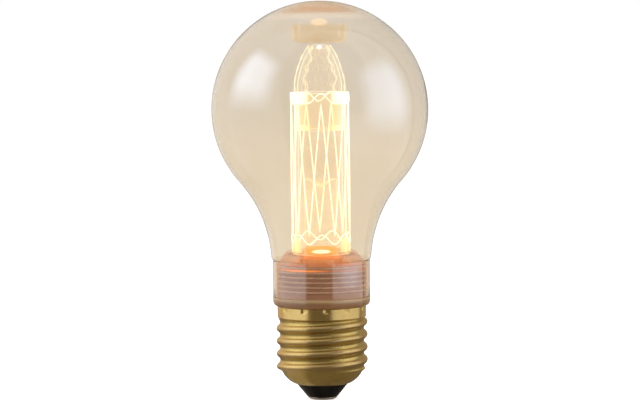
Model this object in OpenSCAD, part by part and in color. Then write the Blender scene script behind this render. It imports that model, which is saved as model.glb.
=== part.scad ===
// Light-guide LED lamp: an amber pear-shaped glass globe on a brass E27 screw cap.
// Lengths are millimetres. The origin is the tip of the centre contact and +Z points up the lamp's axis.

/* [Glass] */
// Outer diameter of the globe
globe_d = 61.9; // [58:0.1:66]
// Height from the centre contact to the top of the globe
lamp_h = 114.3; // [110:0.1:122]
// Thickness of the blown glass
glass_wall = 0.8; // [0.6:0.05:1.1]
// Outer diameter of the straight neck
neck_d = 27.8; // [27.4:0.1:30]
// Length of the straight neck above the flange
neck_h = 10.8; // [10:0.1:13]
// How far the flare stands proud of the neck where it starts
throat_step = 0.35; // [0.2:0.05:0.8]
// How far below the neck's top the flare's curve would be narrowest
throat_drop = 1.85; // [1:0.05:3]

/* [Screw cap] */
// Height from the centre contact to the brass shell's rim
cap_h = 27.2; // [26.5:0.1:28.5]
// Diameter over the crests of the rolled thread
thread_d = 26.14; // [26.05:0.01:26.45]
// Diameter at the roots of the rolled thread
thread_root_d = 24.1; // [23.96:0.01:24.26]
// Distance from one turn of the thread to the next, seven turns to the inch
thread_pitch = 3.629; // [3.4:0.001:3.8]
// Height of a crest on the side that faces +X
thread_start = 15.25; // [13.5:0.01:17]
// Diameter of the plain rim above the thread
rim_d = 25.4; // [25:0.1:25.8]
// Height of the plain rim
rim_h = 3.4; // [2.8:0.1:4.4]
// Thickness of the brass sheet
shell_wall = 0.3; // [0.2:0.05:0.35]
// Number of crimp dents round the rim
crimp_count = 12; // [6, 9, 12, 18]
// Depth of a crimp dent
crimp_depth = 0.3; // [0.1:0.05:0.35]
// Distance of the dents below the rim's edge
crimp_drop = 0.9; // [0.7:0.05:1.1]
// Direction of the first dent, in degrees round from the front
crimp_turn = 5.5; // [0:0.5:20]
// Diameter of the shell's open foot, where the insulator comes out
foot_d = 14.7; // [13.5:0.1:15.5]
// Height of the shell's foot above the centre contact
foot_z = 4.7; // [4.2:0.1:5.2]
// Radius of the shell's rounded shoulder
shoulder_r = 6.6; // [6:0.1:7.2]
// Height of the thread's lower end above the shell's foot
thread_rise = 3.5; // [3:0.1:4]
// Length over which the thread fades out at both ends
thread_fade = 1.1; // [0.8:0.1:1.4]

/* [Contact] */
// Diameter of the insulator's lower end
tip_d = 9; // [8.6:0.1:11]
// Height of the insulator's rounded lower edge
tip_round = 0.6; // [0.3:0.1:1]
// Diameter of the contact plate
contact_d = 8.2; // [7:0.1:8.5]
// Thickness of the contact plate
contact_t = 0.7; // [0.5:0.05:1]
// Diameter of the contact pin's flat head
pin_head_d = 3.4; // [2.6:0.1:4.5]
// Thickness of the contact pin's head
pin_head_t = 0.3; // [0.2:0.05:0.5]
// Diameter of the contact pin's shank
pin_d = 2; // [1.6:0.1:2.4]
// Length of the contact pin above the insulator's tip
pin_h = 4.6; // [4:0.1:5]
// Height of the insulator's body inside the shell
insulator_h = 3.5; // [3.2:0.1:4]
// Radius of the cup in the insulator's upper face
insulator_cup_r = 3.2; // [2.6:0.1:4]
// Depth of the cup in the insulator's upper face
insulator_cup_h = 2.4; // [2:0.1:2.6]

/* [Holder] */
// Height of the flange between the shell and the glass
flange_h = 2.7; // [2.2:0.1:4]
// How far the flange stands out past the glass neck
flange_lip = 0.05; // [0:0.05:0.5]
// Height of the holder's flat top above the straight neck
top_rise = 2.3; // [1.8:0.1:3]
// Width of the flat top outside the light guide
top_margin = 1.45; // [0.6:0.05:2]
// Height of the cone below the flat top
cone_h = 3.3; // [2:0.1:4]
// Number of glue grooves round the spigot
groove_count = 6; // [3:1:6]
// Distance from the cone's foot to the middle of the first glue groove
groove_drop = 0.84; // [0.6:0.01:1]
// Distance from one glue groove to the next
groove_pitch = 1.36; // [1.1:0.01:1.4]
// Height of one glue groove
groove_w = 0.6; // [0.4:0.05:0.8]
// Depth of one glue groove
groove_depth = 0.45; // [0.2:0.05:0.6]
// Gap between the spigot and the glass
glue_gap = 0.35; // [0.2:0.05:0.5]
// Length of the stub inside the brass shell
stub_h = 8.2; // [7.4:0.1:9]
// Thickness of the stub's wall
stub_wall = 1.3; // [1:0.1:1.5]
// Depth of the well over the driver bay
well_h = 3.9; // [3:0.1:5]

/* [Light guide] */
// Outer diameter of the etched tube
guide_d = 16.7; // [16:0.1:18]
// Thickness of the tube's wall
guide_wall = 1.1; // [0.9:0.05:1.2]
// Height of the tube from its seat to its shoulder
guide_h = 46.1; // [42:0.1:49]
// Depth of the seat that the tube stands in
guide_seat = 0.9; // [0.5:0.1:1.5]
// Height of the crown above the tube
crown_h = 13.5; // [11:0.1:15]
// Height of the straight band at the crown's foot
crown_band = 2.9; // [1.5:0.1:4]
// Diameter of the crown's flat top
crown_top_d = 7.6; // [6:0.1:9]
// Thickness of the crown's wall
crown_wall = 0.9; // [0.7:0.05:1.1]
// Length of the crown's skirt inside the tube
skirt_h = 10.7; // [6:0.1:12]
// Diameter of the light pipe
pipe_d = 9.2; // [8.6:0.1:9.4]
// Height of the light pipe
pipe_h = 21.5; // [16:0.1:24]
// Depth of the cone sunk in the light pipe's top
pipe_dimple = 2.2; // [1:0.1:3]

/* [Etched lines] */
// Number of zigzags round the tube
line_count = 7; // [5:1:9]
// Direction of the first zigzag's point, in degrees round from the front
line_turn = 2.3; // [0:0.1:20]
// Width of an etched line
line_w = 0.35; // [0.25:0.05:0.5]
// Depth of an etched line
line_depth = 0.15; // [0.1:0.01:0.25]
// Height of the long zigzag's lower points above the tube's foot
zigzag_low = 5.7; // [5.2:0.1:9]
// Height of the long zigzag's upper points below the tube's shoulder
zigzag_drop = 2.8; // [2.8:0.1:6]
// Height of the short waves at both ends of the tube
wave_h = 2.7; // [1.5:0.1:2.7]
// How far the lower wave's points reach above the long zigzag's lower points
wave_lap = 0.3; // [0:0.1:1]

/* [Light source] */
// Thickness of the round circuit board under the light source
led_board_t = 1; // [0.8:0.1:1.2]
// Diameter of the light source's base
led_d = 6.4; // [6:0.1:7]
// Height of the light source's base
led_h = 0.5; // [0.4:0.05:0.7]
// Diameter of the lit disc
lit_d = 5.2; // [4:0.1:5.4]
// Diameter of a board screw's head
screw_head_d = 1.7; // [1.4:0.1:1.8]
// Height of a board screw's head
screw_head_h = 0.6; // [0.4:0.1:0.8]
// Diameter of a board screw's shank
screw_d = 1; // [0.8:0.1:1.2]
// Length of a board screw's shank
screw_l = 4; // [3:0.1:4.4]
// Thickness of the heat spreader's metal
spreader_wall = 0.9; // [0.7:0.1:1.2]
// Height of the heat spreader's skirt
spreader_skirt = 5.5; // [4:0.1:7]

/* [Driver] */
// Thickness of the driver's circuit board
board_t = 1; // [0.8:0.1:1.6]
// Size of the board's cut-back lower corners
board_corner = 1.7; // [1.5:0.1:2]
// Height of the board's top edge above the stub's foot
board_rise = 8; // [7.5:0.1:8.5]
// Diameter of the can capacitor
can_d = 6.3; // [5:0.1:6.3]
// Length of the can capacitor
can_h = 11; // [9:0.1:12]
// Diameter of the choke
choke_d = 6; // [5:0.1:6.2]
// Length of the choke
choke_l = 5.6; // [4:0.1:6]
// Width of the film capacitor
film_w = 7.2; // [6:0.1:7.5]
// Thickness of the film capacitor
film_t = 3.2; // [2.5:0.1:4]
// Height of the film capacitor
film_h = 6; // [5:0.1:7]
// Diameter of the fusing resistor
fuse_d = 2.6; // [2:0.1:2.8]
// Length of the fusing resistor
fuse_l = 5.5; // [4.5:0.1:6]
// Thickness of the chips' packages
chip_t = 1.4; // [1:0.1:1.8]
// Length of a chip's leg
leg_l = 0.9; // [0.6:0.1:1.1]
// Width of the bridge rectifier
bridge_w = 4.8; // [4:0.1:5.2]
// Height of the bridge rectifier
bridge_h = 4; // [3.4:0.1:4.6]
// Width of the driver's chip
chip_w = 4.9; // [4:0.1:5.2]
// Height of the driver's chip
chip_h = 3.9; // [3.4:0.1:4.6]
// Width of a sense resistor
sense_w = 1.25; // [0.8:0.05:1.4]
// Height of a sense resistor
sense_h = 2; // [1.2:0.1:2.2]
// Thickness of a sense resistor
sense_t = 0.5; // [0.35:0.05:0.7]
// Diameter of the insulated wires
wire_d = 0.8; // [0.6:0.05:0.9]
// Diameter of the bare wire clamped against the shell
bare_d = 0.6; // [0.4:0.05:0.6]

/* [Hidden] */
$fn = 96;

// Clearances
slide_gap = 0.1;
touch_gap = 0.05;
free_gap = 0.3;
light_gap = 0.25;
// Overshoot of a cut past the face that it opens
over = 1;

// Heights up the axis
tip_z = pin_head_t + contact_t;
pin_top_z = tip_z + pin_h;
flange_top_z = cap_h + flange_h;
neck_top_z = flange_top_z + neck_h;
top_z = neck_top_z + top_rise;
guide_z = top_z - guide_seat;
led_seat_z = guide_z - led_board_t - 2 * slide_gap;
led_z = led_seat_z + led_board_t;
bay_top_z = led_seat_z - well_h;
stub_z = cap_h - stub_h;
shoulder_z = guide_z + guide_h;
crown_top_z = shoulder_z + crown_h;
rim_low_z = cap_h - rim_h;

// Radii
globe_r = globe_d / 2;
neck_r = neck_d / 2;
neck_in_r = neck_r - glass_wall;
flange_r = neck_r + flange_lip;
rim_r = rim_d / 2;
root_r = thread_root_d / 2;
crest_r = thread_d / 2;
foot_r = foot_d / 2;
spigot_r = neck_in_r - glue_gap;
groove_r = spigot_r - groove_depth;
stub_r = rim_r - shell_wall - slide_gap;
stub_low_r = root_r - shell_wall - slide_gap - touch_gap;
bay_r = stub_low_r - stub_wall;
guide_r = guide_d / 2;
guide_in_r = guide_r - guide_wall;
top_r = guide_r + top_margin;
pipe_r = pipe_d / 2;
guide_ledge = 0.45;
led_board_r = guide_in_r - guide_ledge;
slug_r = pipe_r - 2 * slide_gap;
well_wall = 0.4;
well_wall_r = led_board_r + well_wall;
// Ring on the light source's board that holds its screws and its wires
pad_r = (pipe_r + led_board_r) / 2;

// Glass: the globe's centre, and the arc that flares tangent to the globe
globe_z = lamp_h - globe_r;
throat_r = neck_r + throat_step;
throat_z = neck_top_z - throat_drop;
flare_dz = globe_z - throat_z;
flare_r = (throat_r ^ 2 + flare_dz ^ 2 - globe_r ^ 2) / (2 * (globe_r - throat_r));
flare_x = throat_r + flare_r;
join_share = globe_r / (globe_r + flare_r);
join_r = flare_x * join_share;
join_z = globe_z - flare_dz * join_share;
neck_step_h = 0.6;

// Half of the lamp's solid section, drawn in by the thickness of the glass for its inside
module envelope_section(inset, low_z) {
    intersection() {
        union() {
            translate([0, globe_z]) circle(r = globe_r - inset, $fn = 180);
            difference() {
                translate([0, neck_top_z]) square([join_r - inset * join_share, join_z - neck_top_z]);
                translate([flare_x, throat_z]) circle(r = flare_r + inset, $fn = 180);
            }
            polygon([
                [0, low_z],
                [neck_r - inset, low_z],
                [neck_r - inset, neck_top_z - neck_step_h / 2],
                [throat_r - inset, neck_top_z + neck_step_h / 2],
                [0, neck_top_z + neck_step_h / 2]
            ]);
        }
        translate([0, low_z]) square([globe_r + over, lamp_h - low_z]);
    }
}

module glass_envelope() {
    color([0.90, 0.78, 0.58, 0.35])
    rotate_extrude()
    difference() {
        envelope_section(0, flange_top_z);
        envelope_section(glass_wall, flange_top_z - over);
    }
}

// Height of the middle of glue groove i
function groove_z(i) = top_z - cone_h - groove_drop - i * groove_pitch;

module ring(r_in, r_out, z, h) {
    translate([0, 0, z])
    difference() {
        cylinder(r = r_out, h = h);
        translate([0, 0, -over]) cylinder(r = r_in, h = h + 2 * over);
    }
}

// Cured glue that keys the glass to the spigot
module glue_rings() {
    color([0.93, 0.86, 0.74])
    for (i = [0 : groove_count - 1])
        ring(groove_r + touch_gap / 2, neck_in_r - touch_gap / 2, groove_z(i) - groove_w / 2, groove_w);
}

// Outer section of the holder: stub, rounded flange, grooved spigot and cone
flange_round = flange_r - rim_r;
crimp_z = cap_h - crimp_drop;
crimp_groove_r = rim_r - shell_wall - crimp_depth - touch_gap;
crimp_groove_h = 1.4;
// Height of the stub's narrow part above the shell's plain rim
stub_step = 0.4;

module holder_section() {
    difference() {
        union() {
            translate([0, stub_z]) square([stub_low_r, stub_h]);
            translate([0, rim_low_z + stub_step]) square([stub_r, rim_h - stub_step]);
            translate([0, cap_h]) square([rim_r, flange_h]);
            translate([rim_r, cap_h + flange_round]) circle(r = flange_round);
            translate([0, cap_h + flange_round]) square([flange_r, flange_h - flange_round]);
            translate([0, flange_top_z]) square([spigot_r, top_z - cone_h - flange_top_z]);
            polygon([
                [0, top_z - cone_h],
                [spigot_r, top_z - cone_h],
                [top_r, top_z],
                [0, top_z]
            ]);
        }
        for (i = [0 : groove_count - 1])
            translate([groove_r, groove_z(i) - groove_w / 2]) square([glue_gap + groove_depth, groove_w]);
        translate([crimp_groove_r, crimp_z - crimp_groove_h / 2]) square([over, crimp_groove_h]);
    }
}

// Slots inside the stub that the driver's board slides into
slot_wall = 1;
slot_depth = 1.5;
slot_half = board_t / 2 + slide_gap;

module board_slots() {
    intersection() {
        for (side = [0, 180], y = [slot_half, -slot_half - slot_wall])
            rotate([0, 0, side])
            translate([bay_r - slot_depth, y, stub_z])
            cube([slot_depth + over, slot_wall, board_rise]);
        translate([0, 0, stub_z]) cylinder(r = bay_r + stub_wall / 2, h = stub_h);
    }
}

screw_hole_r = screw_d / 2 + touch_gap;
wire_hole_r = wire_d / 2 + free_gap;
wire_angles = [60, 120];
screw_angles = [0, 180];
neutral_slot_half = bare_d / 2 + 2 * slide_gap;
neutral_depth = 0.25;
neutral_low_r = stub_low_r - bare_d / 2 - neutral_depth;
neutral_high_r = stub_r - bare_d / 2;

// Plastic holder: carries the glass, the light guide, the light source and the driver
module holder() {
    color([0.71, 0.52, 0.45])
    difference() {
        union() {
            difference() {
                rotate_extrude() holder_section();
                translate([0, 0, stub_z - over]) cylinder(r = bay_r, h = bay_top_z - stub_z + over);
            }
            board_slots();
        }
        // Seat of the etched tube, recess of the light source's board and well of the heat spreader
        translate([0, 0, guide_z]) cylinder(r = guide_r + slide_gap, h = guide_seat + over);
        translate([0, 0, led_seat_z]) cylinder(r = led_board_r + slide_gap, h = guide_z - led_seat_z + over);
        translate([0, 0, bay_top_z - over]) cylinder(r = slug_r + slide_gap, h = well_h + 2 * over);
        // Relief that keeps the moulded top's wall even
        ring(well_wall_r, bay_r, bay_top_z - over, well_h / 2 + over);
        for (a = screw_angles)
            rotate([0, 0, a])
            translate([pad_r, 0, led_seat_z - screw_l])
            cylinder(r = screw_hole_r, h = screw_l + over, $fn = 32);
        for (a = wire_angles)
            rotate([0, 0, a])
            translate([pad_r, 0, bay_top_z - over])
            cylinder(r = wire_hole_r, h = well_h + 2 * over, $fn = 32);
        // Groove for the bare wire that the shell clamps
        translate([neutral_low_r - bare_d / 2 - touch_gap, -neutral_slot_half, stub_z - over])
        cube([stub_r, 2 * neutral_slot_half, crimp_z - crimp_groove_h / 2 - stub_z + over]);
    }
}

// Direction of the lamp's front
front_turn = -90;
// Half turn between a point of a zigzag and the next
half_step = 180 / line_count;

// Slab that cuts one straight line, from height z0 to height z1, centred on a direction round the tube
module line_slab(turn, z0, z1) {
    width = 2 * (guide_r + line_depth) * sin(half_step / 2);
    rise = z1 - z0;
    length = sqrt(width ^ 2 + rise ^ 2) + line_w;
    rotate([0, 0, turn])
    translate([0, -guide_r, (z0 + z1) / 2])
    rotate([0, -atan2(rise, width), 0])
    cube([length, guide_wall * 2, line_w], center = true);
}

// Zigzag round the tube with its upper points at the directions of the lines
module zigzag(low, high) {
    for (i = [0 : line_count - 1]) {
        line_slab(line_turn + (2 * i - 0.5) * half_step, low, high);
        line_slab(line_turn + (2 * i + 0.5) * half_step, high, low);
    }
}

zigzag_low_z = guide_z + zigzag_low;
zigzag_high_z = shoulder_z - zigzag_drop;

// Clear tube that carries the etched lines
module guide_tube() {
    color([0.98, 0.88, 0.62])
    difference() {
        ring(guide_in_r, guide_r, guide_z, guide_h);
        intersection() {
            union() {
                zigzag(zigzag_low_z, zigzag_high_z);
                zigzag(zigzag_low_z + wave_lap - wave_h, zigzag_low_z + wave_lap);
                zigzag(zigzag_high_z, zigzag_high_z + wave_h);
            }
            ring(guide_r - line_depth, guide_r + over, guide_z, guide_h);
        }
    }
}

// Closed cap of the light guide: a skirt inside the tube, a straight band, a cone and a flat top
skirt_r = guide_in_r - slide_gap;
crown_top_r = crown_top_d / 2;
cone_slope = (guide_r - crown_top_r) / (crown_h - crown_band);

module crown_section(inset) {
    polygon([
        [0, shoulder_z - skirt_h],
        [skirt_r - inset, shoulder_z - skirt_h],
        [skirt_r - inset, shoulder_z],
        [guide_r - touch_gap - inset, shoulder_z],
        [guide_r - touch_gap - inset, shoulder_z + crown_band],
        [crown_top_r - inset + cone_slope * inset, crown_top_z - inset],
        [0, crown_top_z - inset]
    ]);
}

module guide_crown() {
    color([1.0, 0.91, 0.68])
    difference() {
        rotate_extrude() crown_section(0);
        rotate_extrude()
        polygon([
            [0, shoulder_z - skirt_h - over],
            [skirt_r - crown_wall, shoulder_z - skirt_h - over],
            [skirt_r - crown_wall, shoulder_z + crown_band],
            [crown_top_r - crown_wall, crown_top_z - crown_wall],
            [0, crown_top_z - crown_wall]
        ]);
        // Etched lines from the shoulder to the flat top
        for (i = [0 : line_count - 1])
            rotate([90, 0, front_turn + line_turn + 2 * i * half_step])
            linear_extrude(height = line_w, center = true)
            difference() {
                translate([crown_top_r / 2, shoulder_z]) square([guide_r, crown_h + over]);
                crown_section(line_depth);
            }
    }
}

// Clear rod that lifts the light into the guide, hollowed over the light source
pipe_foot_r = led_d / 2 + light_gap;
pipe_foot_h = led_h + light_gap;
// Flat rim left round the cone in the pipe's top
pipe_rim = 0.7;

module light_pipe() {
    color([0.99, 0.90, 0.70])
    difference() {
        translate([0, 0, led_z]) cylinder(r = pipe_r, h = pipe_h);
        translate([0, 0, led_z - over]) cylinder(r = pipe_foot_r, h = pipe_foot_h + over);
        translate([0, 0, led_z + pipe_h - pipe_dimple])
        cylinder(r1 = 0, r2 = pipe_r - pipe_rim, h = pipe_dimple + 0.001);
    }
}

led_floor = 0.15;
lit_h = led_h - led_floor;

module led_base() {
    color([0.95, 0.93, 0.88])
    difference() {
        translate([0, 0, led_z]) cylinder(r = led_d / 2, h = led_h);
        translate([0, 0, led_z + led_h - lit_h]) cylinder(r = lit_d / 2, h = lit_h + over);
    }
}

module led_phosphor() {
    color([1.0, 0.72, 0.25])
    translate([0, 0, led_z + led_h - lit_h])
    cylinder(r = lit_d / 2, h = lit_h);
}

module led_board() {
    color([0.93, 0.91, 0.86])
    difference() {
        translate([0, 0, led_seat_z]) cylinder(r = led_board_r, h = led_board_t);
        for (a = screw_angles)
            rotate([0, 0, a])
            translate([pad_r, 0, led_seat_z - over])
            cylinder(r = screw_hole_r, h = led_board_t + 2 * over, $fn = 32);
        for (a = wire_angles)
            rotate([0, 0, a])
            translate([pad_r, 0, led_seat_z - over])
            cylinder(r = wire_d / 2 + touch_gap, h = led_board_t + 2 * over, $fn = 32);
    }
}

// Two screws with round slotted heads
screw_slot_w = 0.3;

module board_screws() {
    color([0.75, 0.75, 0.76])
    for (a = screw_angles)
        rotate([0, 0, a])
        translate([pad_r, 0, 0])
        difference() {
            union() {
                translate([0, 0, led_z]) cylinder(r = screw_head_d / 2, h = screw_head_h, $fn = 48);
                translate([0, 0, led_z - screw_l]) cylinder(r = screw_d / 2, h = screw_l, $fn = 48);
            }
            translate([-screw_head_d, -screw_slot_w / 2, led_z + screw_head_h / 2])
            cube([2 * screw_head_d, screw_slot_w, screw_head_h]);
        }
}

// Aluminium cup with a slug that carries the heat away from the light source
spreader_r = bay_r - slide_gap;

module heat_spreader() {
    color([0.80, 0.81, 0.82])
    difference() {
        union() {
            translate([0, 0, bay_top_z - spreader_skirt]) cylinder(r = spreader_r, h = spreader_skirt);
            translate([0, 0, bay_top_z - spreader_wall]) cylinder(r = slug_r, h = well_h + spreader_wall);
        }
        translate([0, 0, bay_top_z - spreader_skirt - over])
        cylinder(r = spreader_r - spreader_wall, h = spreader_skirt - spreader_wall + over);
        for (a = wire_angles)
            rotate([0, 0, a])
            translate([pad_r, 0, bay_top_z - spreader_wall - over])
            cylinder(r = wire_hole_r, h = spreader_wall + 2 * over, $fn = 32);
    }
}

// Rolled brass shell. Its surface is a grid of rings: each ring's radius follows the rounded shoulder,
// the plain rim or the helical thread, and the inner grid lies one wall inside.
shell_sides = 36;
rows_per_turn = 7;
// How far the thread's fading end runs into the plain rim
thread_runout = 0.3;
shoulder_x = root_r - shoulder_r;
shoulder_z0 = foot_z + sqrt(shoulder_r ^ 2 - (foot_r - shoulder_x) ^ 2);
thread_low_z = foot_z + thread_rise;
thread_high_z = rim_low_z + thread_runout;

// Radius of the shell without its thread
function plain_r(z) =
    z < shoulder_z0 ? shoulder_x + sqrt(shoulder_r ^ 2 - (shoulder_z0 - z) ^ 2)
    : z > rim_low_z ? rim_r
    : root_r;

// Equal arcs round the crests and the roots, tangent where they meet
thread_h = crest_r - root_r;
quarter = thread_pitch / 4;
arc_r = quarter / sin(2 * atan(thread_h / 2 / quarter));
function arc_drop(t) = arc_r - sqrt(arc_r ^ 2 - t ^ 2);
function wave_r(t) = t < quarter ? crest_r - arc_drop(t) : root_r + arc_drop(2 * quarter - t);
function thread_r(turn, z) =
    let (u = (z - thread_start) / thread_pitch - turn / 360)
    wave_r(abs(u - round(u)) * thread_pitch);

function ease(t) = let (c = max(0, min(1, t))) c * c * (3 - 2 * c);
function thread_share(z) =
    ease((z - thread_low_z) / thread_fade) * ease((thread_high_z - z) / thread_fade);

function dent(i, z) = i % (shell_sides / crimp_count) == 0 && z == crimp_z ? crimp_depth : 0;

first_turn = front_turn + crimp_turn;
function side_turn(i) = first_turn + i * 360 / shell_sides;
function shell_r(i, z) =
    let (share = thread_share(z))
    plain_r(z) * (1 - share) + thread_r(side_turn(i), z) * share - dent(i, z);
function ring_points(z, inset) = [
    for (i = [0 : shell_sides - 1])
        let (r = shell_r(i, z) - inset)
        [r * cos(side_turn(i)), r * sin(side_turn(i)), z]
];

thread_l = thread_high_z - thread_low_z;
thread_rows = ceil(thread_l / thread_pitch * rows_per_turn);
// Rows below and above the row that holds the dents
dent_low = 0.6;
dent_high = 0.45;
shell_rows = concat(
    [for (k = [0 : 3]) foot_z + thread_rise * (k / 4) ^ 1.3],
    [for (k = [0 : thread_rows]) thread_low_z + thread_l * k / thread_rows],
    [crimp_z - dent_low, crimp_z, crimp_z + dent_high, cap_h]
);

module screw_shell() {
    rows = len(shell_rows);
    grid = rows * shell_sides;
    points = concat(
        [for (z = shell_rows) each ring_points(z, 0)],
        [for (z = shell_rows) each ring_points(z, shell_wall)]
    );
    function at(layer, row, i) = layer * grid + row * shell_sides + i % shell_sides;
    outside = [
        for (row = [0 : rows - 2], i = [0 : shell_sides - 1])
            each [
                [at(0, row, i), at(0, row + 1, i), at(0, row + 1, i + 1)],
                [at(0, row, i), at(0, row + 1, i + 1), at(0, row, i + 1)]
            ]
    ];
    inside = [
        for (row = [0 : rows - 2], i = [0 : shell_sides - 1])
            each [
                [at(1, row, i), at(1, row + 1, i + 1), at(1, row + 1, i)],
                [at(1, row, i), at(1, row, i + 1), at(1, row + 1, i + 1)]
            ]
    ];
    edges = [
        for (i = [0 : shell_sides - 1])
            each [
                [at(0, 0, i), at(0, 0, i + 1), at(1, 0, i + 1)],
                [at(0, 0, i), at(1, 0, i + 1), at(1, 0, i)],
                [at(0, rows - 1, i), at(1, rows - 1, i), at(1, rows - 1, i + 1)],
                [at(0, rows - 1, i), at(1, rows - 1, i + 1), at(0, rows - 1, i + 1)]
            ]
    ];
    color([0.74, 0.62, 0.36])
    polyhedron(points = points, faces = concat(outside, inside, edges));
}

// Black glass insulator: a cone below the shell and a body that fills the shell's foot
tip_r = tip_d / 2;
insulator_top_z = foot_z + insulator_h;
shoulder_gap = 0.12;

module insulator() {
    color([0.08, 0.07, 0.06])
    rotate_extrude()
    difference() {
        union() {
            polygon([
                [0, tip_z],
                [tip_r - tip_round / 3, tip_z],
                [tip_r + tip_round / 2, tip_z + tip_round],
                [foot_r, foot_z],
                [0, foot_z]
            ]);
            translate([0, foot_z - touch_gap]) square([shoulder_x, insulator_h + touch_gap]);
            intersection() {
                translate([shoulder_x, shoulder_z0]) circle(r = shoulder_r - shell_wall - shoulder_gap);
                translate([0, foot_z]) square([root_r, insulator_h]);
            }
        }
        translate([0, tip_z - over]) square([pin_d / 2 + touch_gap, lamp_h]);
        translate([0, insulator_top_z - insulator_cup_h]) square([insulator_cup_r, insulator_cup_h + over]);
    }
}

contact_edge = 0.35;

module contact_plate() {
    color([0.78, 0.74, 0.66])
    rotate_extrude()
    polygon([
        [pin_d / 2 + touch_gap, pin_head_t],
        [contact_d / 2 - 2 * contact_edge, pin_head_t],
        [contact_d / 2, pin_head_t + contact_edge],
        [contact_d / 2, tip_z],
        [pin_d / 2 + touch_gap, tip_z]
    ]);
}

module contact_pin() {
    color([0.80, 0.76, 0.68]) {
        cylinder(r = pin_head_d / 2, h = pin_head_t);
        cylinder(r = pin_d / 2, h = pin_top_z);
    }
}

// Driver: a board on edge in the cap, with its parts on both faces
board_low_z = insulator_top_z + free_gap;
board_top_z = stub_z + board_rise;
board_half = bay_r - free_gap;
front_y = -board_t / 2 - touch_gap;
back_y = board_t / 2 + touch_gap;

module driver_board() {
    color([0.16, 0.42, 0.24])
    difference() {
        translate([-board_half, -board_t / 2, board_low_z])
        cube([2 * board_half, board_t, board_top_z - board_low_z]);
        // Corners cut back to clear the shell's rounded shoulder
        for (side = [-1, 1])
            translate([side * board_half, 0, board_low_z])
            rotate([0, 45, 0])
            cube([board_corner * sqrt(2), 2 * board_t, board_corner * sqrt(2)], center = true);
    }
}

// Fusing resistor at the board's foot, its end caps, and how much thinner it is between them
fuse_x = -4.5;
fuse_rise = 1.9;
fuse_z = board_low_z + fuse_rise;
fuse_cap_l = 1.4;
fuse_waist = 0.5;

// Can capacitor above the fusing resistor, with its leads and the groove rolled round its foot
can_x = fuse_x;
can_y = front_y - can_d / 2;
can_lead_r = 0.25;
can_lead_l = 1;
can_z = fuse_z + fuse_d / 2 + slide_gap + can_lead_r + can_lead_l;
bead_z = 1.4;
bead_w = 0.5;

module can_capacitor() {
    color([0.15, 0.16, 0.20])
    difference() {
        union() {
            translate([can_x, can_y, can_z]) cylinder(d = can_d, h = can_h);
            for (side = [-1, 1])
                translate([can_x + side * can_d / 5, can_y, can_z - can_lead_l]) {
                    cylinder(r = can_lead_r, h = can_lead_l + over / 2, $fn = 24);
                    rotate([-90, 0, 0]) cylinder(r = can_lead_r, h = can_d / 2, $fn = 24);
                }
        }
        translate([can_x, can_y, 0]) ring(can_d / 2 - bead_w / 2, can_d / 2 + over, can_z + bead_z, bead_w);
    }
}

film_x = 4.4;
film_drop = 0.6;
film_z = board_top_z - film_h - film_drop;

module film_capacitor() {
    color([0.62, 0.20, 0.14])
    translate([film_x - film_w / 2, front_y - film_t, film_z])
    cube([film_w, film_t, film_h]);
}

choke_x = 4.4;
choke_drop = 0.9;
choke_z = film_z - choke_d / 2 - choke_drop;
choke_rim = 0.8;
choke_post_r = 1.5;
// How far the winding lies below the rims
winding_depth = 0.4;
winding_l = choke_l - 2 * choke_rim - 2 * touch_gap;

module choke_core() {
    color([0.22, 0.22, 0.23])
    translate([choke_x, front_y, choke_z])
    rotate([90, 0, 0]) {
        cylinder(d = choke_d, h = choke_rim);
        cylinder(r = choke_post_r, h = choke_l);
        translate([0, 0, choke_l - choke_rim]) cylinder(d = choke_d, h = choke_rim);
    }
}

module choke_winding() {
    color([0.72, 0.42, 0.20])
    translate([choke_x, front_y, choke_z])
    rotate([90, 0, 0])
    ring(choke_post_r + touch_gap, choke_d / 2 - winding_depth, choke_rim + touch_gap, winding_l);
}

// Flat black package with a row of legs on each side
leg_w = 0.4;
leg_t = 0.35;
chip_lift = 0.1;

module chip(x, z, w, h, legs) {
    translate([x, back_y, z]) {
        translate([-w / 2, chip_lift, -h / 2]) cube([w, chip_t, h]);
        for (leg_z = [h / 2 - touch_gap, -h / 2 - leg_l], i = [0 : legs - 1])
            translate([(i - (legs - 1) / 2) * w / legs - leg_w / 2, 0, leg_z])
            cube([leg_w, leg_t, leg_l + touch_gap]);
    }
}

// The packages stand side by side across the board's back
bridge_x = -4.5;
chip_x = 4.2;
chip_rise = 7;
chip_z = board_low_z + chip_rise;

module bridge_rectifier() {
    color([0.12, 0.12, 0.13])
    chip(bridge_x, chip_z, bridge_w, bridge_h, 2);
}

module driver_chip() {
    color([0.13, 0.13, 0.14])
    chip(chip_x, chip_z, chip_w, chip_h, 4);
}

// Sense resistors in a row above the driver's chip, outside the wire that comes down beside them
sense_count = 3;
sense_space = 0.55;
sense_rise = 0.8;
sense_x = pad_r * cos(wire_angles[0]) + wire_d / 2 + free_gap;
sense_z = chip_z + chip_h / 2 + leg_l + sense_rise;

module sense_resistors() {
    color([0.20, 0.20, 0.21])
    for (i = [0 : sense_count - 1])
        translate([sense_x + i * (sense_w + sense_space), back_y, sense_z])
        cube([sense_w, sense_t, sense_h]);
}

module fusing_resistor() {
    color([0.30, 0.42, 0.62])
    translate([fuse_x, front_y - fuse_d / 2, fuse_z])
    rotate([0, 90, 0]) {
        cylinder(d = fuse_d - fuse_waist, h = fuse_l, center = true, $fn = 48);
        for (side = [-1, 1])
            translate([0, 0, side * (fuse_l - fuse_cap_l) / 2])
            cylinder(d = fuse_d, h = fuse_cap_l, center = true, $fn = 48);
    }
}

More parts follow.
